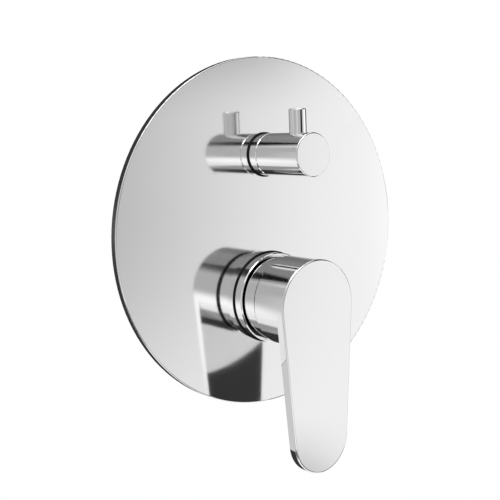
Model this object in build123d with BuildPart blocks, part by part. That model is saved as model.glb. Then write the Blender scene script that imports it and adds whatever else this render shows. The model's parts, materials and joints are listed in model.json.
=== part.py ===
"""Concealed single-lever shower mixer with a round trim plate and a two-way diverter.

Millimetres, +Z up. The origin is the centre of the trim plate on the finished wall. The front of the plate
faces -Y, and the brass body lies in the wall at +Y. A place called "out" is a distance in front of the wall.
"""

import os
from math import asin, atan2, cos, radians, sin, sqrt

from build123d import *

# Trim plate
plate_diameter = 180.0
plate_depth = 4.0
plate_wall = 1.6
plate_edge_round = 0.6
plate_hole_clearance = 0.2
plate_collar_height = 1.6
foam_width = 6.0
foam_clearance = 0.2

# Heights of the two turning axes above the plate's centre
lever_height = -34.0
diverter_height = 40.2

# Cartridge chamber, cover sleeve and lever hub, from the inside out
cartridge_diameter = 35.0
cartridge_clearance = 0.2
chamber_wall = 2.8
sleeve_clearance = 0.4
sleeve_wall = 1.5
seal_groove_depth = 1.0
seal_thickness = 0.45
seal_stand = 0.65
seal_edge_round = 0.2
seal_fit = 0.05
seal_land = 2.15
sleeve_lip = 0.7
sleeve_lip_length = 3.4
sleeve_slot = 0.9
sleeve_bevel = 0.4
sleeve_rear_gap = 2.0
hub_step = 0.5

# Lever handle
hub_lip = 1.0
hub_gap = 1.8
hub_length = 22.0
paddle_thickness = 5.0
paddle_reach = 68.7
paddle_tip_diameter = 34.6
paddle_edge_round = 0.8
lever_tilt = 20.0
boss_wall = 2.5
boss_setback = 4.8
socket_clearance = 0.1
lever_screw_setback = 6.5
lever_screw_radius = 2.9
lever_screw_length = 11.0
lever_plug_thickness = 2.0
lever_plug_inset = 0.25
screw_clearance = 0.05
hex_key_size = 2.5
hex_key_depth = 3.0

# Cartridge
pot_setback = 0.6
pivot_height = 4.0
pivot_setback = 10.4
nut_thread_length = 5.0
nut_thread_depth = 0.9
nut_thread_fit = 0.1
nut_collar_step = 0.4
nut_collar_length = 5.5
nut_slot_width = 4.0
nut_slot_depth = 2.0
cap_fit = 0.1
cap_wall = 1.2
cap_step = 2.4
housing_wall = 1.9
housing_roof = 1.6
housing_neck_wall = 2.5
housing_lip = 1.9
housing_lip_thickness = 2.0
neck_clearance = 0.3
running_fit = 0.05
end_play = 0.1
rotor_diameter = 23.0
rotor_shoulder = 2.4
rotor_stand = 1.0
slot_clearance = 0.4
stem_width = 8.0
stem_head_width = 9.6
stem_head_start = 9.0
stem_block_depth = 8.0
stem_neck_radius = 2.4
stem_ball_radius = 3.0
stem_end_gap = 0.5
pivot_pin_radius = 1.5
pivot_pin_inset = 0.4
carrier_gap = 1.5
carrier_height = 6.3
carrier_clearance = 0.55
ball_depth = 1.1
ball_socket_clearance = 0.3
ceramic_thickness = 3.5
ceramic_gap = 0.03
ceramic_step = 0.2
mixing_pocket_width = 11.0
mixing_pocket_height = 9.4
mixing_pocket_depth = 2.0
mixing_pocket_offset = 3.6
mixing_pocket_round = 4.5
inlet_hole_radius = 2.3
inlet_hole_spacing = 8.4
inlet_hole_drop = 5.3
mixed_hole_radius = 3.2
mixed_hole_rise = 2.0
base_spigot = 0.8
base_flange = 2.4
base_seal_width = 1.3
base_seal_height = 1.4
base_seal_stand = 0.6

# Diverter, from the spindle out
spindle_diameter = 9.8
spindle_flat_depth = 1.5
spindle_neck_wall = 3.95
diverter_sleeve_fit = 0.1
diverter_groove_wall = 1.2
diverter_groove_depth = 0.6
diverter_seal_thickness = 0.45
diverter_seal_stand = 0.7
diverter_sleeve_shown = 6.2
diverter_bevel = 0.3
knob_gap = 0.2
knob_length = 31.7
knob_edge_round = 0.6
pin_diameter = 8.7
pin_setback = 20.7
pin_height = 11.7
pin_seat_depth = 4.0
pin_edge_round = 0.6
pin_fit = 0.05
socket_end_wall = 1.3
knob_screw_setback = 8.0
knob_screw_radius = 2.4
knob_screw_length = 5.0
knob_key_size = 2.0
knob_key_depth = 2.0
flange_setback = 5.0
flange_thickness = 5.0
flange_across_flats = 22.0
gasket_thickness = 1.2
gasket_inset = 3.0
headwork_bore_length = 13.5
headwork_wall = 1.4
headwork_fit = 0.2
headwork_end_gap = 0.6
neck_length = 8.0
spindle_flange_radius = 6.0
spindle_flange_thickness = 4.0
spindle_end_gap = 0.5
clip_thickness = 1.0
clip_groove_depth = 0.6
clip_width = 2.2
clip_gap = 5.0
clip_shoulder = 0.5
o_ring_radius = 0.8
o_ring_spacing = 4.0
o_ring_fit = 0.02
diverter_disc_radius = 7.3
diverter_disc_clearance = 0.3
diverter_disc_thickness = 2.6
diverter_hole_radius = 2.0
diverter_hole_offset = 4.4
diverter_turn = 45.0
spindle_notch_clearance = 0.3
window_width = 6.0
window_height = 3.2
bottom_seal_thickness = 1.6

# Brass body in the wall
annulus_depth = 2.3
annulus_height = 7.5
annulus_wall = 3.5
port_depth_in_wall = 35.0
port_thread_radius = 10.3
port_thread_length = 15.0
port_across_flats = 27.0
port_neck_radius = 13.0
port_hex_length = 14.0
inlet_reach = 50.0
outlet_reach = 40.0
inlet_bore_radius = 4.2
outlet_bore_radius = 2.8
passage_overrun = 0.4
centre_web = 1.5
riser_radius = 4.0
riser_floor = 1.5
riser_wall = 4.0
body_back_wall = 2.0
body_step = 3.5
body_step_gap = 3.0
lug_spacing = 76.0
lug_width = 16.0
lug_thickness = 6.0
lug_height = 3.0
lug_hole_radius = 3.0

# Radii on the lever axis
cartridge_radius = cartridge_diameter / 2
chamber_radius = cartridge_radius + cartridge_clearance
pot_radius = chamber_radius + chamber_wall
sleeve_bore_radius = pot_radius + sleeve_clearance
seal_groove_radius = sleeve_bore_radius + sleeve_wall
sleeve_radius = seal_groove_radius + seal_groove_depth
hub_radius = sleeve_radius - hub_step
hub_lip_radius = hub_radius - hub_lip
lip_radius = sleeve_radius - sleeve_lip
cap_radius = lip_radius - sleeve_slot
nut_bore_radius = chamber_radius + nut_thread_depth
nut_thread_radius = nut_bore_radius - nut_thread_fit
nut_collar_radius = nut_thread_radius + nut_collar_step
cap_bore_radius = nut_collar_radius + cap_fit
rotor_radius = rotor_diameter / 2
rotor_bore_radius = rotor_radius + running_fit
housing_neck_radius = rotor_bore_radius + housing_neck_wall
rotor_neck_radius = rotor_bore_radius - housing_lip - end_play
cavity_radius = cartridge_radius - housing_wall

# Distances out from the wall on the lever axis
plate_front = plate_depth
seal_front = plate_front + seal_thickness
cap_rear = seal_front + seal_land
sleeve_front = cap_rear + sleeve_lip_length
pot_front = cap_rear - pot_setback
pivot_out = pot_front + pivot_height
hub_rear = pivot_out + pivot_setback
cap_shoulder = hub_rear - hub_gap
lever_face = hub_rear + hub_length
paddle_back = lever_face - paddle_thickness
shoulder_out = pot_front - nut_thread_length
nut_front = pot_front + nut_collar_length
cavity_roof = shoulder_out - housing_roof
rotor_bottom = cavity_roof + end_play
rotor_shoulder_out = pivot_out + rotor_shoulder
housing_lip_out = rotor_shoulder_out + end_play
housing_top = housing_lip_out + housing_lip_thickness
rotor_top = housing_top + rotor_stand
carrier_top = rotor_bottom - carrier_gap
ball_out = carrier_top - ball_depth
carrier_bottom = carrier_top - carrier_height
moving_disc_bottom = carrier_bottom - ceramic_thickness
fixed_disc_top = moving_disc_bottom - ceramic_gap
fixed_disc_bottom = fixed_disc_top - ceramic_thickness
housing_bottom = fixed_disc_bottom - base_spigot
base_bottom = housing_bottom - base_flange
chamber_floor = base_bottom - base_seal_stand

# The ball of the cap ring and the hollow of the hub share the tilting axis as their centre. The ball reaches
# so far in under the hub that its opening stays covered when the lever is lifted.
hollow_radius = sqrt(hub_lip_radius**2 + pivot_setback**2)
hollow_top = pivot_out + hollow_radius
hub_lip_angle = atan2(hub_lip_radius, pivot_setback)
cap_opening_angle = hub_lip_angle - radians(lever_tilt)
cap_ball_start = cap_radius - cap_step
cap_ball_angle = atan2(cap_ball_start, cap_shoulder - pivot_out)
cap_ball_radius = cap_ball_start / sin(cap_ball_angle)
cap_hollow_radius = cap_ball_radius - cap_wall
cap_hollow_angle = asin(cap_bore_radius / cap_hollow_radius)

# Stem travel inside the cartridge
tilt_rise = sin(radians(lever_tilt))
stem_arm = pivot_out - ball_out
disc_travel = stem_arm * tilt_rise
carrier_radius = cavity_radius - disc_travel - carrier_clearance
moving_disc_radius = carrier_radius - ceramic_step
fixed_disc_radius = cavity_radius - ceramic_step
slot_half_width = stem_width / 2 + socket_clearance
slot_near = stem_width / 2 + slot_clearance
slot_top_reach = (rotor_top - pivot_out) * tilt_rise + slot_near
slot_bottom_reach = (pivot_out - rotor_bottom) * tilt_rise + slot_near
ball_socket_radius = stem_ball_radius + ball_socket_clearance
boss_rear = hub_rear + boss_setback
socket_half = stem_head_width / 2 + socket_clearance
boss_radius = socket_half + boss_wall
socket_front = paddle_back
stem_end = socket_front - stem_end_gap
lever_screw_out = boss_rear + lever_screw_setback
lever_screw_near = stem_head_width / 2 + screw_clearance

# Radii on the diverter axis
spindle_radius = spindle_diameter / 2
spindle_bore_radius = spindle_radius + running_fit
neck_radius = spindle_bore_radius + spindle_neck_wall
diverter_sleeve_bore = neck_radius + diverter_sleeve_fit
diverter_groove_radius = diverter_sleeve_bore + diverter_groove_wall
diverter_sleeve_radius = diverter_groove_radius + diverter_groove_depth
knob_radius = diverter_sleeve_radius
spindle_square = spindle_diameter - 2 * spindle_flat_depth
knob_socket = spindle_square + 2 * socket_clearance
disc_cavity_radius = diverter_disc_radius + diverter_disc_clearance
headwork_radius = disc_cavity_radius + headwork_wall
diverter_bore_radius = headwork_radius + headwork_fit
annulus_radius = diverter_bore_radius + annulus_depth
diverter_pot_radius = annulus_radius + annulus_wall
spindle_ring_radius = spindle_bore_radius - o_ring_fit - o_ring_radius
o_ring_groove_radius = spindle_ring_radius - o_ring_radius - o_ring_fit
pin_radius = pin_diameter / 2
pin_seat = knob_radius - pin_seat_depth
outlet_side = diverter_hole_offset * sin(radians(diverter_turn))
outlet_rise = diverter_hole_offset * cos(radians(diverter_turn))

# Distances out from the wall on the diverter axis
diverter_seal_front = plate_front + diverter_seal_thickness
diverter_sleeve_front = plate_front + diverter_sleeve_shown
knob_rear = diverter_sleeve_front + knob_gap
knob_front = knob_rear + knob_length
flange_front = plate_front - flange_setback
flange_rear = flange_front - flange_thickness
diverter_pot_front = flange_rear - gasket_thickness
neck_top = flange_front + neck_length
spindle_shoulder = flange_rear - headwork_bore_length
spindle_flange_top = spindle_shoulder - end_play
spindle_bottom = spindle_flange_top - spindle_flange_thickness
diverter_moving_bottom = spindle_bottom - diverter_disc_thickness
diverter_fixed_top = diverter_moving_bottom - ceramic_gap
diverter_fixed_bottom = diverter_fixed_top - diverter_disc_thickness
diverter_floor = diverter_fixed_bottom - bottom_seal_thickness
headwork_bottom = diverter_floor + headwork_end_gap
clip_rear = neck_top + running_fit
clip_front = clip_rear + clip_thickness
spindle_square_start = clip_front + clip_shoulder
pin_out = knob_rear + pin_setback
knob_socket_end = pin_out - pin_radius - socket_end_wall
spindle_end = knob_socket_end - spindle_end_gap
knob_screw_out = knob_rear + knob_screw_setback
window_out = spindle_shoulder - window_height / 2
o_ring_outs = [flange_rear - o_ring_spacing, flange_rear]

# Places in the body behind the wall
port_out = -port_depth_in_wall
body_back = port_out - port_neck_radius - body_back_wall
body_radius = pot_radius + body_step
sleeve_rear = chamber_floor + body_step_gap + sleeve_rear_gap
body_step_out = chamber_floor + body_step_gap
sleeve_ring_out = (sleeve_rear + pot_front) / 2
sleeve_ring_radius = sleeve_bore_radius - o_ring_fit - o_ring_radius
sleeve_ring_groove = sleeve_ring_radius - o_ring_radius - o_ring_fit
o_ring_half_groove = o_ring_radius + o_ring_fit
riser_out = chamber_floor - riser_floor - riser_radius
annulus_top = riser_out + annulus_height
riser_outer_width = 2 * (riser_radius + riser_wall)
riser_front = riser_out + riser_radius + riser_wall
riser_start = lever_height + mixed_hole_rise
riser_end = diverter_height - diverter_bore_radius - annulus_depth / 2


def facing(height, out):
    """Plane that looks out from the wall, with its local Y up, on an axis of the given height."""
    return Plane(origin=(0, -out, height), x_dir=(1, 0, 0), z_dir=(0, -1, 0))


def turning_axis(height):
    """Horizontal axis that runs out of the wall."""
    return Axis((0, 0, height), (0, -1, 0))


def on_ball(radius, angle):
    """Radius and out of a point on a ball round the tilting axis, by its angle from the turning axis."""
    return radius * sin(angle), pivot_out + radius * cos(angle)


def turned_outline(height, *corners):
    """Closed outline of (radius, out) corners beside a turning axis."""
    with BuildSketch(Plane(origin=(0, 0, height), x_dir=(1, 0, 0), z_dir=(0, 0, -1))) as outline:
        with BuildLine():
            Polyline(*corners, close=True)
        make_face()
    return outline.sketch


def ring_outline(height, inner_radius, outer_radius, rear, front):
    """Rectangular outline of a turned ring."""
    corners = ((inner_radius, rear), (outer_radius, rear), (outer_radius, front), (inner_radius, front))
    return turned_outline(height, *corners)


def round_section(height, ring_radius, out, section_radius):
    """Round section of a rubber ring beside a turning axis."""
    with BuildSketch(Plane(origin=(0, 0, height), x_dir=(1, 0, 0), z_dir=(0, 0, -1))) as section:
        with Locations((ring_radius, out)):
            Circle(section_radius)
    return section.sketch


def set_screw(height, out, near, length, radius, key_size, key_depth):
    """Set screw that points up at the shaft from below, with a hexagon socket in its lower end."""
    lower_end = Plane(origin=(0, -out, height - near - length), x_dir=(1, 0, 0), z_dir=(0, 0, 1))
    with BuildPart() as screw:
        with BuildSketch(lower_end):
            Circle(radius)
        extrude(amount=length)
        with BuildSketch(lower_end):
            RegularPolygon(key_size / 2, 6, major_radius=False)
        extrude(amount=key_depth, mode=Mode.SUBTRACT)
    return screw.part


def save(piece, label):
    """Label a finished piece and write it to its own file."""
    piece.label = label
    export_step(piece, f"parts/{label}.step")


os.makedirs("parts", exist_ok=True)

# Trim plate: a drawn round cup with a rim towards the wall and a turned-in collar round each hole
plate_radius = plate_diameter / 2
rim_inner_radius = plate_radius - plate_wall
plate_inside = plate_front - plate_wall
hub_hole_radius = sleeve_radius + plate_hole_clearance
diverter_hole_radius_in_plate = diverter_sleeve_radius + plate_hole_clearance
collar_rear = plate_inside - plate_collar_height
plate_holes = ((lever_height, hub_hole_radius), (diverter_height, diverter_hole_radius_in_plate))
with BuildPart() as wall_plate:
    plate_section = (
        (0, plate_inside),
        (rim_inner_radius, plate_inside),
        (rim_inner_radius, 0),
        (plate_radius, 0),
        (plate_radius, plate_front),
        (0, plate_front),
    )
    revolve(turned_outline(0, *plate_section), axis=turning_axis(0))
    rim_edges = wall_plate.edges().filter_by(GeomType.CIRCLE).filter_by(lambda e: e.radius == plate_radius)
    fillet(rim_edges.sort_by(Axis.Y)[0], plate_edge_round)
    for height, hole_radius in plate_holes:
        with BuildSketch(facing(height, collar_rear)):
            Circle(hole_radius + plate_wall)
        extrude(amount=plate_collar_height)
    for height, hole_radius in plate_holes:
        with BuildSketch(facing(height, collar_rear)):
            Circle(hole_radius)
        extrude(amount=plate_front - collar_rear, mode=Mode.SUBTRACT)
save(wall_plate.part, "wall_plate")

# Foam strip that closes the plate's rim against the tiles
with BuildPart() as plate_foam_seal:
    foam_outer_radius = rim_inner_radius - foam_clearance
    foam_section = ring_outline(0, foam_outer_radius - foam_width, foam_outer_radius, 0, plate_inside)
    revolve(foam_section, axis=turning_axis(0))
save(plate_foam_seal.part, "plate_foam_seal")

# Cover sleeve: slides over the cartridge chamber and carries the plate by a rubber ring in its groove
with BuildPart() as hub_sleeve:
    sleeve_section = (
        (sleeve_bore_radius, sleeve_rear),
        (sleeve_radius, sleeve_rear),
        (sleeve_radius, plate_front),
        (seal_groove_radius, plate_front),
        (seal_groove_radius, seal_front),
        (sleeve_radius, seal_front),
        (sleeve_radius, sleeve_front - sleeve_bevel),
        (sleeve_radius - sleeve_bevel, sleeve_front),
        (lip_radius, sleeve_front),
        (lip_radius, cap_rear),
        (sleeve_bore_radius, cap_rear),
    )
    revolve(turned_outline(lever_height, *sleeve_section), axis=turning_axis(lever_height))
save(hub_sleeve.part, "hub_sleeve")

with BuildPart() as hub_seal_ring:
    hub_seal_radius = sleeve_radius + seal_stand
    hub_seal_section = ring_outline(
        lever_height, seal_groove_radius + seal_fit, hub_seal_radius, plate_front, seal_front
    )
    revolve(hub_seal_section, axis=turning_axis(lever_height))
    fillet(hub_seal_ring.edges().group_by(Axis.Y)[0].sort_by(SortBy.RADIUS)[-1], seal_edge_round)
save(hub_seal_ring.part, "hub_seal_ring")

# Rubber ring that grips the sleeve on the chamber
with BuildPart() as sleeve_o_ring:
    sleeve_ring_section = round_section(lever_height, sleeve_ring_radius, sleeve_ring_out, o_ring_radius)
    revolve(sleeve_ring_section, axis=turning_axis(lever_height))
save(sleeve_o_ring.part, "sleeve_o_ring")

# Cap ring: screwed on the cartridge nut. It stops short of the hub, and inside the gap lies the ball that the
# hub swings round.
ball_start = on_ball(cap_ball_radius, cap_ball_angle)
ball_middle = on_ball(cap_ball_radius, (cap_ball_angle + cap_opening_angle) / 2)
ball_end = on_ball(cap_ball_radius, cap_opening_angle)
inside_end = on_ball(cap_hollow_radius, cap_opening_angle)
inside_middle = on_ball(cap_hollow_radius, (cap_hollow_angle + cap_opening_angle) / 2)
inside_start = on_ball(cap_hollow_radius, cap_hollow_angle)
with BuildPart() as cap_ring:
    with BuildSketch(Plane(origin=(0, 0, lever_height), x_dir=(1, 0, 0), z_dir=(0, 0, -1))):
        with BuildLine():
            Polyline(
                (cap_bore_radius, cap_rear), (cap_radius, cap_rear), (cap_radius, cap_shoulder), ball_start
            )
            ThreePointArc(ball_start, ball_middle, ball_end)
            Line(ball_end, inside_end)
            ThreePointArc(inside_end, inside_middle, inside_start)
            Line(inside_start, (cap_bore_radius, cap_rear))
        make_face()
    revolve(axis=turning_axis(lever_height))
save(cap_ring.part, "cap_ring")

# Lever: one casting of a hollow round hub, a flat paddle and a square socket for the stem
paddle_tip_height = lever_height - paddle_reach
with BuildPart() as lever:
    with BuildSketch(facing(lever_height, hub_rear)):
        Circle(hub_radius)
    extrude(amount=paddle_back - hub_rear)
    with BuildSketch(facing(0, paddle_back)):
        with Locations((0, lever_height)):
            Circle(hub_radius)
        with Locations((0, paddle_tip_height)):
            Circle(paddle_tip_diameter / 2)
        make_hull()
    extrude(amount=paddle_thickness)
    front_outline = lever.faces().sort_by(Axis.Y)[0].edges()
    fillet(front_outline, paddle_edge_round)
    with BuildSketch(Plane(origin=(0, 0, lever_height), x_dir=(1, 0, 0), z_dir=(0, 0, -1))):
        with BuildLine():
            Line((0, hub_rear), (hub_lip_radius, hub_rear))
            hollow_middle = on_ball(hollow_radius, hub_lip_angle / 2)
            ThreePointArc((hub_lip_radius, hub_rear), hollow_middle, (0, hollow_top))
            Line((0, hollow_top), (0, hub_rear))
        make_face()
    revolve(axis=turning_axis(lever_height), mode=Mode.SUBTRACT)
    with BuildSketch(facing(lever_height, boss_rear)):
        Circle(boss_radius)
    extrude(amount=paddle_back - boss_rear)
    with BuildSketch(facing(lever_height, boss_rear)):
        Rectangle(2 * socket_half, 2 * socket_half)
    extrude(amount=socket_front - boss_rear, mode=Mode.SUBTRACT)
    with BuildSketch(Plane.XY.offset(lever_height)):
        with Locations((0, -lever_screw_out)):
            Circle(lever_screw_radius + screw_clearance)
    extrude(amount=-hub_radius, mode=Mode.SUBTRACT)
save(lever.part, "lever")

lever_grub_screw = set_screw(
    lever_height,
    lever_screw_out,
    lever_screw_near,
    lever_screw_length,
    lever_screw_radius,
    hex_key_size,
    hex_key_depth,
)
save(lever_grub_screw, "lever_grub_screw")

# Small plug that closes the screw's hole under the hub
with BuildPart() as lever_screw_plug:
    with BuildSketch(Plane.XY.offset(lever_height - hub_radius + lever_plug_inset)):
        with Locations((0, -lever_screw_out)):
            Circle(lever_screw_radius)
    extrude(amount=lever_plug_thickness)
save(lever_screw_plug.part, "lever_screw_plug")

# Stem: square head in the lever, flat block in the rotor, ball end in the disc carrier
with BuildPart() as lever_stem:
    stem_head_out = pivot_out + stem_head_start
    stem_block_out = pivot_out - stem_block_depth
    with BuildSketch(facing(lever_height, stem_head_out)):
        Rectangle(stem_head_width, stem_head_width)
    extrude(amount=stem_end - stem_head_out)
    with BuildSketch(facing(lever_height, stem_block_out)):
        Rectangle(stem_width, stem_width)
    extrude(amount=stem_head_out - stem_block_out)
    with BuildSketch(facing(lever_height, ball_out)):
        Circle(stem_neck_radius)
    extrude(amount=stem_block_out - ball_out)
    with Locations((0, -ball_out, lever_height)):
        Sphere(stem_ball_radius)
    with BuildSketch(Plane.YZ):
        with Locations((-pivot_out, lever_height)):
            Circle(pivot_pin_radius + running_fit)
    extrude(amount=stem_width, both=True, mode=Mode.SUBTRACT)
save(lever_stem.part, "lever_stem")

with BuildPart() as stem_pivot_pin:
    with BuildSketch(Plane.YZ):
        with Locations((-pivot_out, lever_height)):
            Circle(pivot_pin_radius)
    extrude(amount=rotor_radius - pivot_pin_inset, both=True)
save(stem_pivot_pin.part, "stem_pivot_pin")

# Rotor: turns in the cartridge's neck and lets the stem tilt in its slot
with BuildPart() as cartridge_rotor:
    rotor_section = (
        (0, rotor_bottom),
        (rotor_radius, rotor_bottom),
        (rotor_radius, rotor_shoulder_out),
        (rotor_neck_radius, rotor_shoulder_out),
        (rotor_neck_radius, rotor_top),
        (0, rotor_top),
    )
    revolve(turned_outline(lever_height, *rotor_section), axis=turning_axis(lever_height))
    with BuildSketch(facing(lever_height, pivot_out)):
        with Locations((0, (slot_top_reach - slot_near) / 2)):
            Rectangle(2 * slot_half_width, slot_top_reach + slot_near)
    extrude(amount=rotor_top - pivot_out, mode=Mode.SUBTRACT)
    with BuildSketch(facing(lever_height, rotor_bottom)):
        with Locations((0, (slot_near - slot_bottom_reach) / 2)):
            Rectangle(2 * slot_half_width, slot_bottom_reach + slot_near)
    extrude(amount=pivot_out - rotor_bottom, mode=Mode.SUBTRACT)
    with BuildSketch(Plane.YZ):
        with Locations((-pivot_out, lever_height)):
            Circle(pivot_pin_radius)
    extrude(amount=rotor_radius, both=True, mode=Mode.SUBTRACT)
save(cartridge_rotor.part, "cartridge_rotor")

# Disc carrier and its ceramic disc, which the stem's ball end pushes across the fixed disc
with BuildPart() as disc_carrier:
    with BuildSketch(facing(lever_height, carrier_bottom)):
        Circle(carrier_radius)
    extrude(amount=carrier_height)
    with BuildSketch(facing(lever_height, ball_out - ball_socket_radius)):
        Circle(ball_socket_radius)
    extrude(amount=carrier_top - ball_out + ball_socket_radius, mode=Mode.SUBTRACT)
save(disc_carrier.part, "disc_carrier")

with BuildPart() as moving_disc:
    with BuildSketch(facing(lever_height, moving_disc_bottom)):
        Circle(moving_disc_radius)
    extrude(amount=ceramic_thickness)
    with BuildSketch(facing(lever_height, moving_disc_bottom)):
        with Locations((0, mixing_pocket_offset)):
            RectangleRounded(mixing_pocket_width, mixing_pocket_height, mixing_pocket_round)
    extrude(amount=mixing_pocket_depth, mode=Mode.SUBTRACT)
save(moving_disc.part, "moving_disc")

# Waterways through the fixed disc, the base and the floor of the chamber: two inlets and the mixed outlet
inlet_places = [(-inlet_hole_spacing / 2, -inlet_hole_drop), (inlet_hole_spacing / 2, -inlet_hole_drop)]
mixed_place = (0, mixed_hole_rise)
waterways = [(place, inlet_hole_radius) for place in inlet_places]
waterways.append((mixed_place, mixed_hole_radius))
with BuildPart() as fixed_disc:
    with BuildSketch(facing(lever_height, fixed_disc_bottom)):
        Circle(fixed_disc_radius)
        for place, hole_radius in waterways:
            with Locations(place):
                Circle(hole_radius, mode=Mode.SUBTRACT)
    extrude(amount=ceramic_thickness)
save(fixed_disc.part, "fixed_disc")

with BuildPart() as cartridge_base:
    with BuildSketch(facing(lever_height, base_bottom)):
        Circle(cartridge_radius)
    extrude(amount=base_flange)
    with BuildSketch(facing(lever_height, housing_bottom)):
        Circle(fixed_disc_radius)
    extrude(amount=base_spigot)
    for place, hole_radius in waterways:
        with BuildSketch(facing(lever_height, base_bottom)):
            with Locations(place):
                Circle(hole_radius)
        extrude(amount=base_flange + base_spigot, mode=Mode.SUBTRACT)
        with BuildSketch(facing(lever_height, base_bottom)):
            with Locations(place):
                Circle(hole_radius + base_seal_width + seal_fit)
        extrude(amount=base_seal_height - base_seal_stand, mode=Mode.SUBTRACT)
save(cartridge_base.part, "cartridge_base")

with BuildPart() as cartridge_base_seals:
    with BuildSketch(facing(lever_height, chamber_floor)):
        for place, hole_radius in waterways:
            with Locations(place):
                Circle(hole_radius + base_seal_width)
                Circle(hole_radius, mode=Mode.SUBTRACT)
    extrude(amount=base_seal_height)
save(cartridge_base_seals.part, "cartridge_base_seals")

with BuildPart() as cartridge_housing:
    housing_section = (
        (cavity_radius, housing_bottom),
        (cartridge_radius, housing_bottom),
        (cartridge_radius, shoulder_out),
        (housing_neck_radius, shoulder_out),
        (housing_neck_radius, housing_top),
        (rotor_bore_radius - housing_lip, housing_top),
        (rotor_bore_radius - housing_lip, housing_lip_out),
        (rotor_bore_radius, housing_lip_out),
        (rotor_bore_radius, cavity_roof),
        (cavity_radius, cavity_roof),
    )
    revolve(turned_outline(lever_height, *housing_section), axis=turning_axis(lever_height))
save(cartridge_housing.part, "cartridge_housing")

# Brass nut that presses the cartridge into its chamber, slotted for a pin spanner
with BuildPart() as cartridge_nut:
    nut_inner_radius = housing_neck_radius + neck_clearance
    nut_section = (
        (nut_inner_radius, shoulder_out),
        (nut_thread_radius, shoulder_out),
        (nut_thread_radius, pot_front),
        (nut_collar_radius, pot_front),
        (nut_collar_radius, nut_front),
        (nut_inner_radius, nut_front),
    )
    revolve(turned_outline(lever_height, *nut_section), axis=turning_axis(lever_height))
    with BuildSketch(facing(lever_height, nut_front)):
        Rectangle(2 * nut_collar_radius, nut_slot_width)
        Rectangle(nut_slot_width, 2 * nut_collar_radius)
    extrude(amount=-nut_slot_depth, mode=Mode.SUBTRACT)
save(cartridge_nut.part, "cartridge_nut")

# Diverter: cover sleeve with its rubber ring
with BuildPart() as diverter_sleeve:
    diverter_sleeve_section = (
        (diverter_sleeve_bore, flange_front),
        (diverter_sleeve_radius, flange_front),
        (diverter_sleeve_radius, plate_front),
        (diverter_groove_radius, plate_front),
        (diverter_groove_radius, diverter_seal_front),
        (diverter_sleeve_radius, diverter_seal_front),
        (diverter_sleeve_radius, diverter_sleeve_front - diverter_bevel),
        (diverter_sleeve_radius - diverter_bevel, diverter_sleeve_front),
        (diverter_sleeve_bore, diverter_sleeve_front),
    )
    revolve(turned_outline(diverter_height, *diverter_sleeve_section), axis=turning_axis(diverter_height))
save(diverter_sleeve.part, "diverter_sleeve")

with BuildPart() as diverter_seal_ring:
    diverter_seal_radius = diverter_sleeve_radius + diverter_seal_stand
    diverter_seal_section = ring_outline(
        diverter_height,
        diverter_groove_radius + seal_fit,
        diverter_seal_radius,
        plate_front,
        diverter_seal_front,
    )
    revolve(diverter_seal_section, axis=turning_axis(diverter_height))
    fillet(diverter_seal_ring.edges().group_by(Axis.Y)[0].sort_by(SortBy.RADIUS)[-1], seal_edge_round)
save(diverter_seal_ring.part, "diverter_seal_ring")

# Knob: turned bar with a square socket behind, a seat for the pin on top and a set screw below
with BuildPart() as diverter_knob:
    knob_section = (
        (0, knob_rear),
        (knob_radius - diverter_bevel, knob_rear),
        (knob_radius, knob_rear + diverter_bevel),
        (knob_radius, knob_front),
        (0, knob_front),
    )
    revolve(turned_outline(diverter_height, *knob_section), axis=turning_axis(diverter_height))
    fillet(diverter_knob.edges().sort_by(Axis.Y)[0], knob_edge_round)
    with BuildSketch(facing(diverter_height, knob_rear)):
        Rectangle(knob_socket, knob_socket)
    extrude(amount=knob_socket_end - knob_rear, mode=Mode.SUBTRACT)
    with BuildSketch(Plane.XY.offset(diverter_height + pin_seat)):
        with Locations((0, -pin_out)):
            Circle(pin_radius + pin_fit)
    extrude(amount=pin_seat_depth, mode=Mode.SUBTRACT)
    with BuildSketch(Plane.XY.offset(diverter_height)):
        with Locations((0, -knob_screw_out)):
            Circle(knob_screw_radius + screw_clearance)
    extrude(amount=-knob_radius, mode=Mode.SUBTRACT)
save(diverter_knob.part, "diverter_knob")

with BuildPart() as diverter_pin:
    with BuildSketch(Plane.XY.offset(diverter_height + pin_seat)):
        with Locations((0, -pin_out)):
            Circle(pin_radius)
    extrude(amount=pin_seat_depth + pin_height)
    fillet(diverter_pin.edges().sort_by(Axis.Z)[-1], pin_edge_round)
save(diverter_pin.part, "diverter_pin")

knob_grub_screw = set_screw(
    diverter_height,
    knob_screw_out,
    spindle_square / 2 + screw_clearance,
    knob_screw_length,
    knob_screw_radius,
    knob_key_size,
    knob_key_depth,
)
save(knob_grub_screw, "knob_grub_screw")

# Headwork: brass bush with a hexagon flange that screws into the body and guides the spindle
with BuildPart() as diverter_headwork:
    headwork_section = (
        (spindle_bore_radius, neck_top),
        (neck_radius, neck_top),
        (neck_radius, flange_rear),
        (headwork_radius, flange_rear),
        (headwork_radius, headwork_bottom),
        (disc_cavity_radius, headwork_bottom),
        (disc_cavity_radius, spindle_shoulder),
        (spindle_bore_radius, spindle_shoulder),
    )
    revolve(turned_outline(diverter_height, *headwork_section), axis=turning_axis(diverter_height))
    with BuildSketch(facing(diverter_height, flange_rear)):
        RegularPolygon(flange_across_flats / 2, 6, major_radius=False)
        Circle(spindle_bore_radius, mode=Mode.SUBTRACT)
    extrude(amount=flange_thickness)
    with BuildSketch(facing(diverter_height, window_out - window_height / 2)):
        Rectangle(window_width, 2 * headwork_radius)
        Rectangle(2 * headwork_radius, window_width)
    extrude(amount=window_height, mode=Mode.SUBTRACT)
save(diverter_headwork.part, "diverter_headwork")

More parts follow.
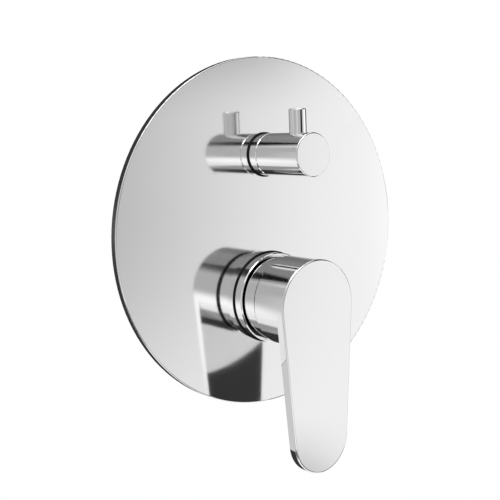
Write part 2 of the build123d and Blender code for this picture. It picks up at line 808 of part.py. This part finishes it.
with BuildPart() as headwork_gasket:
    gasket_section = ring_outline(
        diverter_height,
        headwork_radius + headwork_fit,
        diverter_pot_radius - gasket_inset,
        diverter_pot_front,
        flange_rear,
    )
    revolve(gasket_section, axis=turning_axis(diverter_height))
save(headwork_gasket.part, "headwork_gasket")

# Spindle: square end for the knob, clip groove, two seal grooves and a tongue that drives the moving disc.
# Its flange is notched where the water goes down to the disc's hole.
clip_inner_radius = spindle_radius - clip_groove_depth
tongue_width = spindle_flat_depth * 2
tongue_depth = diverter_disc_thickness / 2
with BuildPart() as diverter_spindle:
    spindle_section = (
        (0, spindle_bottom),
        (spindle_flange_radius, spindle_bottom),
        (spindle_flange_radius, spindle_flange_top),
        (spindle_radius, spindle_flange_top),
        (spindle_radius, clip_rear),
        (clip_inner_radius, clip_rear),
        (clip_inner_radius, clip_front),
        (spindle_radius, clip_front),
        (spindle_radius, spindle_square_start),
        (0, spindle_square_start),
    )
    revolve(turned_outline(diverter_height, *spindle_section), axis=turning_axis(diverter_height))
    for ring_out in o_ring_outs:
        groove = ring_outline(
            diverter_height,
            o_ring_groove_radius,
            spindle_radius,
            ring_out - o_ring_half_groove,
            ring_out + o_ring_half_groove,
        )
        revolve(groove, axis=turning_axis(diverter_height), mode=Mode.SUBTRACT)
    with BuildSketch(facing(diverter_height, spindle_square_start)):
        Rectangle(spindle_square, spindle_square)
    extrude(amount=spindle_end - spindle_square_start)
    with BuildSketch(facing(diverter_height, spindle_bottom)):
        with Locations((0, diverter_hole_offset - diverter_hole_radius)):
            notch_width = 2 * (diverter_hole_radius + spindle_notch_clearance)
            Rectangle(notch_width, spindle_flange_radius, align=(Align.CENTER, Align.MIN))
    extrude(amount=spindle_flange_thickness, mode=Mode.SUBTRACT)
    with BuildSketch(facing(diverter_height, spindle_bottom)):
        Rectangle(2 * spindle_radius, tongue_width)
    extrude(amount=-tongue_depth)
save(diverter_spindle.part, "diverter_spindle")

with BuildPart() as spindle_o_rings:
    for ring_out in o_ring_outs:
        ring_section = round_section(diverter_height, spindle_ring_radius, ring_out, o_ring_radius)
        revolve(ring_section, axis=turning_axis(diverter_height))
save(spindle_o_rings.part, "spindle_o_rings")

# Open spring clip that keeps the spindle in the headwork
with BuildPart() as spindle_clip:
    with BuildSketch(facing(diverter_height, clip_rear)):
        Circle(clip_inner_radius + clip_width)
        Circle(clip_inner_radius, mode=Mode.SUBTRACT)
        Rectangle(clip_gap, 2 * spindle_diameter, align=(Align.CENTER, Align.MAX), mode=Mode.SUBTRACT)
    extrude(amount=clip_thickness)
save(spindle_clip.part, "spindle_clip")

with BuildPart() as diverter_moving_disc:
    with BuildSketch(facing(diverter_height, diverter_moving_bottom)):
        Circle(diverter_disc_radius)
        with Locations((0, diverter_hole_offset)):
            Circle(diverter_hole_radius, mode=Mode.SUBTRACT)
    extrude(amount=diverter_disc_thickness)
    with BuildSketch(facing(diverter_height, spindle_bottom)):
        Rectangle(2 * spindle_radius + 2 * socket_clearance, tongue_width + 2 * socket_clearance)
    extrude(amount=-tongue_depth - socket_clearance, mode=Mode.SUBTRACT)
save(diverter_moving_disc.part, "diverter_moving_disc")

# Each end of the knob's turn brings the moving hole over one of the two outlets
diverter_hole_places = [(-outlet_side, outlet_rise), (outlet_side, outlet_rise)]
with BuildPart() as diverter_fixed_disc:
    with BuildSketch(facing(diverter_height, diverter_fixed_bottom)):
        Circle(disc_cavity_radius - seal_fit)
        with Locations(*diverter_hole_places):
            Circle(diverter_hole_radius, mode=Mode.SUBTRACT)
    extrude(amount=diverter_disc_thickness)
save(diverter_fixed_disc.part, "diverter_fixed_disc")

# One rubber seal with a wall between the two outlets
with BuildPart() as diverter_bottom_seal:
    with BuildSketch(facing(diverter_height, diverter_floor)):
        Circle(disc_cavity_radius - seal_fit)
        with Locations(*diverter_hole_places):
            Circle(diverter_hole_radius, mode=Mode.SUBTRACT)
    extrude(amount=bottom_seal_thickness)
save(diverter_bottom_seal.part, "diverter_bottom_seal")

# Brass body: one casting with two chambers, a riser between them and four threaded ports
lever_port_plane = Plane(origin=(0, -port_out, lever_height), x_dir=(0, 1, 0), z_dir=(1, 0, 0))
side_port_plane = Plane(origin=(0, -port_out, diverter_height), x_dir=(0, 1, 0), z_dir=(1, 0, 0))
top_port_plane = Plane(origin=(0, -port_out, diverter_height), x_dir=(1, 0, 0), z_dir=(0, 0, 1))
port_runs = (
    (lever_port_plane, inlet_reach),
    (lever_port_plane, -inlet_reach),
    (side_port_plane, inlet_reach),
    (top_port_plane, outlet_reach),
)
with BuildPart() as valve_body:
    pot_section = (
        (0, body_back),
        (body_radius, body_back),
        (body_radius, body_step_out),
        (pot_radius, body_step_out),
        (pot_radius, pot_front),
        (0, pot_front),
    )
    revolve(turned_outline(lever_height, *pot_section), axis=turning_axis(lever_height))
    diverter_pot_section = (
        (0, body_back),
        (diverter_pot_radius, body_back),
        (diverter_pot_radius, diverter_pot_front),
        (0, diverter_pot_front),
    )
    revolve(turned_outline(diverter_height, *diverter_pot_section), axis=turning_axis(diverter_height))
    with BuildSketch(Plane.XY.offset(lever_height)):
        with Locations((0, -(riser_front + body_back) / 2)):
            RectangleRounded(riser_outer_width, riser_front - body_back, riser_wall)
    extrude(amount=diverter_height - lever_height)
    for plane, reach in port_runs:
        side = 1 if reach > 0 else -1
        hex_start = reach - side * port_hex_length
        with BuildSketch(plane):
            Circle(port_neck_radius)
        extrude(amount=hex_start)
        with BuildSketch(plane.offset(hex_start)):
            RegularPolygon(port_across_flats / 2, 6, major_radius=False)
        extrude(amount=reach - hex_start)
    with BuildSketch(facing(lug_height, body_back)):
        SlotCenterToCenter(lug_spacing, lug_width)
        with GridLocations(lug_spacing, 0, 2, 1):
            Circle(lug_hole_radius, mode=Mode.SUBTRACT)
    extrude(amount=lug_thickness)
    chamber_section = (
        (0, chamber_floor),
        (chamber_radius, chamber_floor),
        (chamber_radius, shoulder_out),
        (nut_bore_radius, shoulder_out),
        (nut_bore_radius, pot_front),
        (0, pot_front),
    )
    revolve(
        turned_outline(lever_height, *chamber_section), axis=turning_axis(lever_height), mode=Mode.SUBTRACT
    )
    ring_groove = ring_outline(
        lever_height,
        sleeve_ring_groove,
        pot_radius,
        sleeve_ring_out - o_ring_half_groove,
        sleeve_ring_out + o_ring_half_groove,
    )
    revolve(ring_groove, axis=turning_axis(lever_height), mode=Mode.SUBTRACT)
    diverter_chamber_section = (
        (0, diverter_floor),
        (diverter_bore_radius, diverter_floor),
        (diverter_bore_radius, riser_out),
        (annulus_radius, riser_out),
        (annulus_radius, annulus_top),
        (diverter_bore_radius, annulus_top),
        (diverter_bore_radius, diverter_pot_front),
        (0, diverter_pot_front),
    )
    revolve(
        turned_outline(diverter_height, *diverter_chamber_section),
        axis=turning_axis(diverter_height),
        mode=Mode.SUBTRACT,
    )
    with BuildSketch(facing(lever_height, port_out)):
        with Locations(*inlet_places):
            Circle(inlet_hole_radius)
    extrude(amount=chamber_floor - port_out, mode=Mode.SUBTRACT)
    with BuildSketch(facing(lever_height, riser_out)):
        with Locations(mixed_place):
            Circle(mixed_hole_radius)
    extrude(amount=chamber_floor - riser_out, mode=Mode.SUBTRACT)
    with BuildSketch(Plane.XY.offset(riser_start)):
        with Locations((0, -riser_out)):
            Circle(riser_radius)
    extrude(amount=riser_end - riser_start, mode=Mode.SUBTRACT)
    with BuildSketch(facing(diverter_height, port_out)):
        with Locations(*diverter_hole_places):
            Circle(diverter_hole_radius)
    extrude(amount=diverter_floor - port_out, mode=Mode.SUBTRACT)
    for plane, reach in port_runs[:2]:
        side = 1 if reach > 0 else -1
        with BuildSketch(plane.offset(side * centre_web)):
            with Locations((0, -inlet_hole_drop)):
                Circle(inlet_bore_radius)
        extrude(amount=reach - side * centre_web, mode=Mode.SUBTRACT)
    side_start = outlet_side - diverter_hole_radius - passage_overrun
    with BuildSketch(side_port_plane.offset(side_start)):
        with Locations((0, outlet_rise)):
            Circle(outlet_bore_radius)
    extrude(amount=inlet_reach - side_start, mode=Mode.SUBTRACT)
    top_start = outlet_rise - diverter_hole_radius - passage_overrun
    with BuildSketch(top_port_plane.offset(top_start)):
        with Locations((-outlet_side, 0)):
            Circle(outlet_bore_radius)
    extrude(amount=outlet_reach - top_start, mode=Mode.SUBTRACT)
    for plane, reach in port_runs:
        side = 1 if reach > 0 else -1
        with BuildSketch(plane.offset(reach)):
            Circle(port_thread_radius)
        extrude(amount=-side * port_thread_length, mode=Mode.SUBTRACT)
save(valve_body.part, "valve_body")
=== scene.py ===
"""Looks of the concealed shower mixer: finishes for every piece, pipe threads, a white studio and the camera.

Metres, in the part's own frame: +Z up, the front of the trim plate faces -Y.
"""

import json
from math import cos, pi, radians, sin, tan

import bpy
from mathutils import Matrix, Vector


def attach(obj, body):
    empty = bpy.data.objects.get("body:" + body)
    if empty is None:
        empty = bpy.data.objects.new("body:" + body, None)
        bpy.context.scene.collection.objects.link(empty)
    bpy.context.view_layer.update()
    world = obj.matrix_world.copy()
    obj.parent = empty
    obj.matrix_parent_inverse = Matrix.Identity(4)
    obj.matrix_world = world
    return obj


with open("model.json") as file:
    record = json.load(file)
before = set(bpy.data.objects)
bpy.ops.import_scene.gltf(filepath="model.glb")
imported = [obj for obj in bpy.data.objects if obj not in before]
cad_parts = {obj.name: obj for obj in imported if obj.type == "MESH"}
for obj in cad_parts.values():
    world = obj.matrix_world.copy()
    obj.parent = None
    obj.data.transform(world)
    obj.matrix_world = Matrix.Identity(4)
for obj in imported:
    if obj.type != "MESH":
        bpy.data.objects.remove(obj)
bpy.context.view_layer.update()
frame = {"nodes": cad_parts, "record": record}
nodes = frame["nodes"]
scene = bpy.context.scene
mm = 0.001

# Pipe thread of the four ports, G1/2
thread_pitch = 1.814 * mm
thread_depth = 0.9 * mm
thread_root = 0.05 * mm
thread_foot_share = 0.44
thread_crest_share = 0.06
thread_steps = 48

# White surround, and the fill that lights the part
surround_strength = 1.0
fill_strength = 0.55
white = (1, 1, 1, 1)

# Soft key light
key_side = 0.9
key_power = 9.0
key_place = Vector((0.7, -1.1, 0.9))

# Pale floor at a usual distance below a mixer on its wall
floor_height = -1.1
floor_half = 6.0
floor_colour = (0.9, 0.9, 0.9, 1)
floor_roughness = 0.9
floor_glow_strength = 1.2
floor_glow_share = 0.7

# Camera at the photograph's viewing angle
camera_place = Vector((-0.30276, -0.3855, 0.05692))
camera_yaw = radians(37.33)
camera_pitch = radians(-7.73)
camera_roll = radians(-2.23)
focal_pixels = 940.58
picture_pixels = 500


# Helpers

FLOAT = "NodeSocketFloat"
COLOUR = "NodeSocketColor"


def new_material(name):
    """A new material, returned with its node tree and its Principled shader."""
    material = bpy.data.materials.new(name)
    material.use_nodes = True
    tree = material.node_tree
    return material, tree, tree.nodes["Principled BSDF"]


def add_node(tree, kind, **values):
    """A node of the given kind with its properties and unlinked inputs set."""
    node = tree.nodes.new(kind)
    for key, value in values.items():
        if hasattr(node, key):
            setattr(node, key, value)
        else:
            node.inputs[key.replace("_", " ")].default_value = value
    return node


def new_group(name, inputs, outputs):
    """A shader node group with its sockets, returned with its input and output nodes."""
    group = bpy.data.node_groups.new(name, "ShaderNodeTree")
    for socket_name, socket_type, value in inputs:
        socket = group.interface.new_socket(socket_name, in_out="INPUT", socket_type=socket_type)
        socket.default_value = value
    for socket_name, socket_type in outputs:
        group.interface.new_socket(socket_name, in_out="OUTPUT", socket_type=socket_type)
    return group, group.nodes.new("NodeGroupInput"), group.nodes.new("NodeGroupOutput")


def place_group(tree, group, **values):
    """A node group in a material with its own values."""
    node = tree.nodes.new("ShaderNodeGroup")
    node.node_tree = group
    for key, value in values.items():
        node.inputs[key.replace("_", " ")].default_value = value
    return node


def facing(place, direction):
    """The matrix that puts an object at a place with its own Z along a direction."""
    return Matrix.Translation(place) @ direction.to_track_quat("Z", "Y").to_matrix().to_4x4()


# Shared effects


def build_uneven_finish():
    """Soft cloudy change of a finish: a value between Low and High and a colour between two."""
    group, given, out = new_group(
        "uneven finish",
        [
            ("Scale", FLOAT, 60.0),
            ("Low", FLOAT, 0.1),
            ("High", FLOAT, 0.2),
            ("First Colour", COLOUR, (0.5, 0.5, 0.5, 1)),
            ("Second Colour", COLOUR, (0.6, 0.6, 0.6, 1)),
        ],
        [("Value", FLOAT), ("Colour", COLOUR)],
    )
    place = add_node(group, "ShaderNodeTexCoord")
    cloud = add_node(group, "ShaderNodeTexNoise", Detail=6.0, Roughness=0.6)
    spread = add_node(group, "ShaderNodeMapRange", From_Min=0.3, From_Max=0.7)
    tint = add_node(group, "ShaderNodeMix", data_type="RGBA")
    link = group.links.new
    link(place.outputs["Object"], cloud.inputs["Vector"])
    link(given.outputs["Scale"], cloud.inputs["Scale"])
    link(cloud.outputs["Fac"], spread.inputs["Value"])
    link(given.outputs["Low"], spread.inputs["To Min"])
    link(given.outputs["High"], spread.inputs["To Max"])
    link(spread.outputs["Result"], out.inputs["Value"])
    link(cloud.outputs["Fac"], tint.inputs["Factor"])
    link(given.outputs["First Colour"], tint.inputs["A"])
    link(given.outputs["Second Colour"], tint.inputs["B"])
    link(tint.outputs["Result"], out.inputs["Colour"])
    return group


def build_turning_marks():
    """Fine rings that a lathe leaves round an axis out of the wall, as a height."""
    group, given, out = new_group("turning marks", [("Scale", FLOAT, 900.0)], [("Height", FLOAT)])
    place = add_node(group, "ShaderNodeTexCoord")
    rings = add_node(
        group, "ShaderNodeTexWave", wave_type="BANDS", bands_direction="Y", Distortion=0.6, Detail=2.0
    )
    link = group.links.new
    link(place.outputs["Object"], rings.inputs["Vector"])
    link(given.outputs["Scale"], rings.inputs["Scale"])
    link(rings.outputs["Fac"], out.inputs["Height"])
    return group


def build_surface_grain():
    """Small bumps of a moulded, cast or cellular skin, as a height."""
    group, given, out = new_group(
        "surface grain", [("Scale", FLOAT, 800.0), ("Cells", FLOAT, 0.5)], [("Height", FLOAT)]
    )
    place = add_node(group, "ShaderNodeTexCoord")
    bumps = add_node(group, "ShaderNodeTexNoise", Detail=4.0, Roughness=0.55)
    pores = add_node(group, "ShaderNodeTexVoronoi")
    blend = add_node(group, "ShaderNodeMix", data_type="FLOAT")
    link = group.links.new
    link(place.outputs["Object"], bumps.inputs["Vector"])
    link(place.outputs["Object"], pores.inputs["Vector"])
    link(given.outputs["Scale"], bumps.inputs["Scale"])
    link(given.outputs["Scale"], pores.inputs["Scale"])
    link(given.outputs["Cells"], blend.inputs["Factor"])
    link(bumps.outputs["Fac"], blend.inputs["A"])
    link(pores.outputs["Distance"], blend.inputs["B"])
    link(blend.outputs["Result"], out.inputs["Height"])
    return group


uneven_finish = build_uneven_finish()
turning_marks = build_turning_marks()
surface_grain = build_surface_grain()


# Finishes


def finish_material(
    name,
    first,
    second,
    rough,
    cloud_scale,
    metal=0.0,
    shine=0.5,
    relief=None,
    relief_depth=0.0,
    **relief_values,
):
    """A material with a cloudy colour and roughness and, if named, a relief from a shared effect."""
    material, tree, shader = new_material(name)
    cloud = place_group(
        tree,
        uneven_finish,
        Scale=cloud_scale,
        Low=rough[0],
        High=rough[1],
        First_Colour=(*first, 1),
        Second_Colour=(*second, 1),
    )
    tree.links.new(cloud.outputs["Colour"], shader.inputs["Base Color"])
    tree.links.new(cloud.outputs["Value"], shader.inputs["Roughness"])
    shader.inputs["Metallic"].default_value = metal
    shader.inputs["Specular IOR Level"].default_value = shine
    if relief:
        height = place_group(tree, relief, **relief_values)
        bump = add_node(tree, "ShaderNodeBump", Strength=1.0, Distance=relief_depth)
        tree.links.new(height.outputs["Height"], bump.inputs["Height"])
        tree.links.new(bump.outputs["Normal"], shader.inputs["Normal"])
    return material


polished_chrome = finish_material(
    "polished chrome",
    first=(0.865, 0.865, 0.865),
    second=(0.885, 0.885, 0.885),
    rough=(0.02, 0.045),
    cloud_scale=45.0,
    metal=1.0,
)
plate_chrome = finish_material(
    "plate chrome",
    first=(0.865, 0.865, 0.865),
    second=(0.885, 0.885, 0.885),
    rough=(0.075, 0.095),
    cloud_scale=30.0,
    metal=1.0,
)
cast_brass = finish_material(
    "cast brass",
    first=(0.62, 0.44, 0.19),
    second=(0.74, 0.56, 0.28),
    rough=(0.34, 0.5),
    cloud_scale=70.0,
    metal=1.0,
    relief=surface_grain,
    relief_depth=0.12 * mm,
    Scale=1400.0,
    Cells=0.35,
)
turned_brass = finish_material(
    "turned brass",
    first=(0.74, 0.55, 0.26),
    second=(0.8, 0.62, 0.32),
    rough=(0.16, 0.26),
    cloud_scale=60.0,
    metal=1.0,
    relief=turning_marks,
    relief_depth=0.01 * mm,
    Scale=900.0,
)
black_rubber = finish_material(
    "black rubber",
    first=(0.006, 0.006, 0.0065),
    second=(0.012, 0.012, 0.0125),
    rough=(0.42, 0.58),
    cloud_scale=160.0,
    shine=0.15,
    relief=surface_grain,
    relief_depth=0.02 * mm,
    Scale=2600.0,
    Cells=0.1,
)
cell_foam = finish_material(
    "cell foam",
    first=(0.03, 0.03, 0.033),
    second=(0.055, 0.055, 0.058),
    rough=(0.85, 0.98),
    cloud_scale=220.0,
    relief=surface_grain,
    relief_depth=0.25 * mm,
    Scale=1500.0,
    Cells=0.95,
)
pressed_fibre = finish_material(
    "pressed fibre",
    first=(0.33, 0.08, 0.05),
    second=(0.48, 0.14, 0.09),
    rough=(0.7, 0.85),
    cloud_scale=420.0,
    relief=surface_grain,
    relief_depth=0.05 * mm,
    Scale=3200.0,
    Cells=0.2,
)
moulded_plastic = finish_material(
    "moulded plastic",
    first=(0.76, 0.76, 0.74),
    second=(0.82, 0.82, 0.8),
    rough=(0.38, 0.48),
    cloud_scale=90.0,
    relief=surface_grain,
    relief_depth=0.015 * mm,
    Scale=2200.0,
    Cells=0.15,
)
plug_plastic = finish_material(
    "grey plug plastic",
    first=(0.46, 0.46, 0.47),
    second=(0.52, 0.52, 0.53),
    rough=(0.24, 0.32),
    cloud_scale=150.0,
    relief=surface_grain,
    relief_depth=0.01 * mm,
    Scale=2600.0,
    Cells=0.1,
)
lapped_ceramic = finish_material(
    "lapped ceramic",
    first=(0.84, 0.83, 0.8),
    second=(0.89, 0.88, 0.85),
    rough=(0.1, 0.17),
    cloud_scale=300.0,
    relief=surface_grain,
    relief_depth=0.004 * mm,
    Scale=3000.0,
    Cells=0.05,
)
plain_steel = finish_material(
    "plain steel",
    first=(0.46, 0.46, 0.47),
    second=(0.54, 0.54, 0.55),
    rough=(0.24, 0.36),
    cloud_scale=200.0,
    metal=1.0,
    relief=turning_marks,
    relief_depth=0.006 * mm,
    Scale=1500.0,
)

finish_of_slot = {
    "polished_chrome": polished_chrome,
    "brass": cast_brass,
    "black_rubber": black_rubber,
    "foam": cell_foam,
    "fibre": pressed_fibre,
    "cartridge_plastic": moulded_plastic,
    "plug_plastic": plug_plastic,
    "ceramic": lapped_ceramic,
    "steel": plain_steel,
}
finish_of_node = {
    "wall_plate": plate_chrome,
    "cartridge_nut": turned_brass,
    "diverter_headwork": turned_brass,
    "diverter_spindle": turned_brass,
    "lever_stem": turned_brass,
}
for subpart in frame["record"]["subparts"]:
    piece = nodes[subpart["node"]]
    finish = finish_of_node.get(subpart["node"], finish_of_slot[subpart["material_slot"]])
    piece.data.materials.clear()
    piece.data.materials.append(finish)


# Pipe threads in the ports, which the part's source leaves as plain bores


def port_thread(mount):
    """A helical ridge on the wall of a threaded port, shallower at both ends."""
    bore_radius = mount["dims"]["r_mm"] * mm
    length = mount["dims"]["length_mm"] * mm
    foot_radius = bore_radius + thread_root
    foot = thread_pitch * thread_foot_share
    crest = thread_pitch * thread_crest_share
    steps = int((length / thread_pitch - 1) * thread_steps)
    vertices = []
    for step in range(steps + 1):
        turn = 2 * pi * step / thread_steps
        along = thread_pitch * (step / thread_steps + 0.5) - length / 2
        ends = min(step, steps - step, thread_steps) / thread_steps
        crest_radius = bore_radius - thread_depth * ends
        ridge = ((foot_radius, -foot), (crest_radius, -crest), (crest_radius, crest), (foot_radius, foot))
        for radius, shift in ridge:
            vertices.append((radius * cos(turn), radius * sin(turn), along + shift))
    corners = len(ridge)
    faces = []
    for step in range(steps):
        for side in range(corners - 1):
            first = corners * step + side
            faces.append((first, first + 1, first + corners + 1, first + corners))
    mesh = bpy.data.meshes.new(mount["name"] + "_thread")
    mesh.from_pydata(vertices, [], faces)
    mesh.materials.append(turned_brass)
    thread = bpy.data.objects.new(mount["name"] + "_thread", mesh)
    thread.matrix_world = facing(mount["pos_m"], Vector(mount["axis"]))
    scene.collection.objects.link(thread)
    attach(thread, "valve_set")


for mount in frame["record"]["mounts"]:
    if mount["kind"] == "threaded_hole":
        port_thread(mount)


# Studio: cards that the polished metal mirrors, a white surround, a soft key light and a pale floor


def flat_sheet(name, half_width, half_height):
    """A flat four-cornered sheet round its own middle."""
    corners = ((-1, -1), (1, -1), (1, 1), (-1, 1))
    mesh = bpy.data.meshes.new(name)
    mesh.from_pydata([(x * half_width, y * half_height, 0) for x, y in corners], [], [(0, 1, 2, 3)])
    sheet = bpy.data.objects.new(name, mesh)
    scene.collection.objects.link(sheet)
    return sheet


def card_material(name, tone, softness):
    """A glow of one tone that fades out towards the edges of its card."""
    middle = 0.5
    material = bpy.data.materials.new(name)
    material.use_nodes = True
    tree = material.node_tree
    tree.nodes.clear()
    link = tree.links.new
    place = add_node(tree, "ShaderNodeTexCoord")
    split = add_node(tree, "ShaderNodeSeparateXYZ")
    both = add_node(tree, "ShaderNodeMath", operation="MULTIPLY")
    link(place.outputs["Generated"], split.inputs["Vector"])
    for side, axis in enumerate("XY"):
        shift = add_node(tree, "ShaderNodeMath", operation="SUBTRACT")
        shift.inputs[1].default_value = middle
        away = add_node(tree, "ShaderNodeMath", operation="ABSOLUTE")
        fade = add_node(tree, "ShaderNodeMapRange", interpolation_type="SMOOTHSTEP")
        fade.inputs["From Min"].default_value = middle
        fade.inputs["From Max"].default_value = middle * (1 - softness)
        link(split.outputs[axis], shift.inputs[0])
        link(shift.outputs[0], away.inputs[0])
        link(away.outputs[0], fade.inputs["Value"])
        link(fade.outputs["Result"], both.inputs[side])
    glow = add_node(tree, "ShaderNodeEmission", Strength=tone)
    clear = add_node(tree, "ShaderNodeBsdfTransparent")
    mix = add_node(tree, "ShaderNodeMixShader")
    surface = add_node(tree, "ShaderNodeOutputMaterial")
    link(both.outputs[0], mix.inputs[0])
    link(clear.outputs[0], mix.inputs[1])
    link(glow.outputs[0], mix.inputs[2])
    link(mix.outputs[0], surface.inputs["Surface"])
    return material


def studio_card(name, at, size, tone, softness, distance):
    """A flat card that faces the part and shows only in its reflections.

    At is its azimuth and elevation and size its width and height, all in degrees as seen from the part.
    Azimuth 0 is straight out of the wall and 90 is to the right.
    Softness is the share of the card over which it fades out at its edges.
    """
    azimuth, elevation = (radians(angle) for angle in at)
    half_width, half_height = (distance * tan(radians(angle) / 2) for angle in size)
    level = cos(elevation)
    towards = Vector((sin(azimuth) * level, -cos(azimuth) * level, sin(elevation)))
    card = flat_sheet(name, half_width, half_height)
    card.matrix_world = facing(towards * distance, -towards)
    card.visible_camera = False
    card.visible_diffuse = False
    card.visible_shadow = False
    card.data.materials.append(card_material(name, tone, softness))


studio_card("front shade", at=(-2, 4), size=(96, 70), tone=0.4, softness=0.75, distance=2.0)
studio_card("front black flag", at=(7, 0.5), size=(24, 8), tone=0.0, softness=0.35, distance=1.6)
studio_card("top shade", at=(8, 36), size=(72, 30), tone=0.27, softness=0.3, distance=3.0)
studio_card("upper right shade", at=(33, 18.5), size=(28, 34), tone=0.2, softness=0.7, distance=1.8)
studio_card("upper black flag", at=(-17.5, 33.5), size=(14, 10), tone=0.0, softness=0.3, distance=2.4)
studio_card("left grey card", at=(-40, 1.5), size=(74, 55), tone=0.52, softness=0.2, distance=1.7)
studio_card("left light strip", at=(-48, 2), size=(20, 30), tone=0.7, softness=0.5, distance=1.6)
studio_card("left side card", at=(-86, 0), size=(40, 80), tone=0.47, softness=0.5, distance=1.3)
studio_card("lower light box", at=(-32, -17), size=(28, 32), tone=1.25, softness=0.9, distance=1.5)
studio_card("lower grey card", at=(-8, -37), size=(26, 15), tone=0.36, softness=0.3, distance=1.25)
studio_card("lower black flag", at=(20, -40), size=(46, 37), tone=0.03, softness=0.5, distance=1.2)
studio_card("right light box", at=(59, 0), size=(28, 60), tone=1.2, softness=0.5, distance=1.6)
studio_card("upper right flag", at=(82, 36), size=(80, 40), tone=0.03, softness=0.25, distance=1.3)
studio_card("lower left flag", at=(-76, -45), size=(70, 26), tone=0.03, softness=0.3, distance=1.1)
studio_card("lower right flag", at=(85, -44), size=(70, 30), tone=0.03, softness=0.3, distance=1.3)
studio_card("right dark card", at=(101, 0), size=(56, 80), tone=0.05, softness=0.4, distance=1.3)
studio_card("left back card", at=(-120, 0), size=(56, 100), tone=0.65, softness=0.2, distance=1.1)
studio_card("back drape", at=(175.5, 0), size=(81, 124), tone=0.04, softness=0.04, distance=0.8)
studio_card("ceiling light box", at=(-20, 56), size=(60, 18), tone=4.0, softness=0.4, distance=1.4)


def background_rays(tree):
    """A socket that is one for rays that see the background: direct, mirrored or through glass."""
    ray = add_node(tree, "ShaderNodeLightPath")
    seen = ray.outputs["Is Camera Ray"]
    for kind in ("Is Glossy Ray", "Is Transmission Ray"):
        either = add_node(tree, "ShaderNodeMath", operation="MAXIMUM")
        tree.links.new(seen, either.inputs[0])
        tree.links.new(ray.outputs[kind], either.inputs[1])
        seen = either.outputs[0]
    return seen


world = bpy.data.worlds.new("white studio")
scene.world = world
world.use_nodes = True
world_tree = world.node_tree
world_tree.nodes.clear()
world_link = world_tree.links.new
surround = add_node(world_tree, "ShaderNodeBackground", Color=white, Strength=surround_strength)
soft_fill = add_node(world_tree, "ShaderNodeBackground", Color=white, Strength=fill_strength)
choose = add_node(world_tree, "ShaderNodeMixShader")
world_out = add_node(world_tree, "ShaderNodeOutputWorld")
world_link(background_rays(world_tree), choose.inputs[0])
world_link(soft_fill.outputs[0], choose.inputs[1])
world_link(surround.outputs[0], choose.inputs[2])
world_link(choose.outputs[0], world_out.inputs["Surface"])

key_data = bpy.data.lights.new("soft key", "AREA")
key_data.shape = "RECTANGLE"
key_data.size = key_side
key_data.size_y = key_side
key_data.energy = key_power
key = bpy.data.objects.new("soft key", key_data)
key.matrix_world = facing(key_place, key_place)
key.visible_glossy = False
scene.collection.objects.link(key)

floor = flat_sheet("pale_floor", floor_half, floor_half)
floor.matrix_world = Matrix.Translation((0, 0, floor_height))
floor_material, floor_tree, floor_shader = new_material("pale floor")
floor_shader.inputs["Base Color"].default_value = floor_colour
floor_shader.inputs["Roughness"].default_value = floor_roughness
floor_link = floor_tree.links.new
floor_glow = add_node(floor_tree, "ShaderNodeEmission", Strength=floor_glow_strength)
floor_share = add_node(floor_tree, "ShaderNodeMath", operation="MULTIPLY")
floor_share.inputs[1].default_value = floor_glow_share
floor_mix = add_node(floor_tree, "ShaderNodeMixShader")
floor_link(background_rays(floor_tree), floor_share.inputs[0])
floor_link(floor_share.outputs[0], floor_mix.inputs[0])
floor_link(floor_shader.outputs[0], floor_mix.inputs[1])
floor_link(floor_glow.outputs[0], floor_mix.inputs[2])
floor_link(floor_mix.outputs[0], floor_tree.nodes["Material Output"].inputs["Surface"])
floor.data.materials.append(floor_material)


# Camera

forward = Vector(
    (sin(camera_yaw) * cos(camera_pitch), cos(camera_yaw) * cos(camera_pitch), sin(camera_pitch))
)
level_right = Vector((cos(camera_yaw), -sin(camera_yaw), 0))
level_up = level_right.cross(forward)
right = level_right * cos(camera_roll) + level_up * sin(camera_roll)
upward = level_up * cos(camera_roll) - level_right * sin(camera_roll)
camera_turn = Matrix((right, upward, -forward)).transposed().to_4x4()
camera_data = bpy.data.cameras.new("photo camera")
camera_data.sensor_width = 36.0
camera_data.lens = focal_pixels / picture_pixels * camera_data.sensor_width
camera_data.clip_start = 0.01
camera = bpy.data.objects.new("photo camera", camera_data)
camera.matrix_world = Matrix.Translation(camera_place) @ camera_turn
scene.collection.objects.link(camera)
scene.camera = camera

scene.view_settings.view_transform = "Standard"
